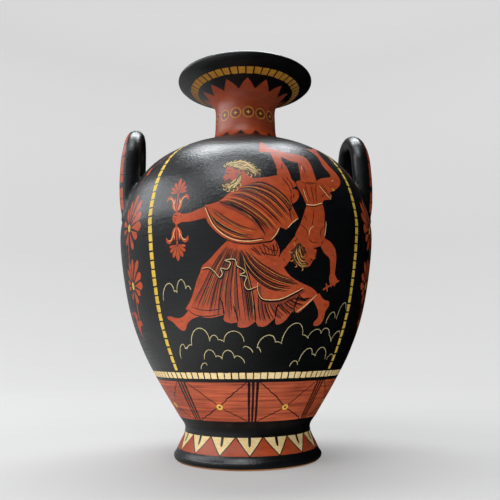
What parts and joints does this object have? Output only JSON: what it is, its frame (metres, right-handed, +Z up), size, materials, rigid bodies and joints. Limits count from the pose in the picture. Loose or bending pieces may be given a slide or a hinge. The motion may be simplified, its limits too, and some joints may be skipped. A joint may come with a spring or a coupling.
{
  "type": "greek red-figure amphora",
  "caption": "Painted clay amphora, hollow, with a ring foot, full shoulder, narrow neck, wide flaring lip and upright loop handles, to stand as a vase.",
  "frame": {"origin": "centre of the foot's underside, on the surface that the vase stands on", "axes": "+Z up along the vase's own axis, handles at -X and +X, main painted panel towards -Y"},
  "size_m": [0.2632, 0.2632, 0.402],
  "materials": {
    "painted_clay": "satin black slip with red, yellow and cream painting on fired clay"
  },
  "bodies": {
    "root": {"vase": "painted_clay"}
  },
  "joints": []
}
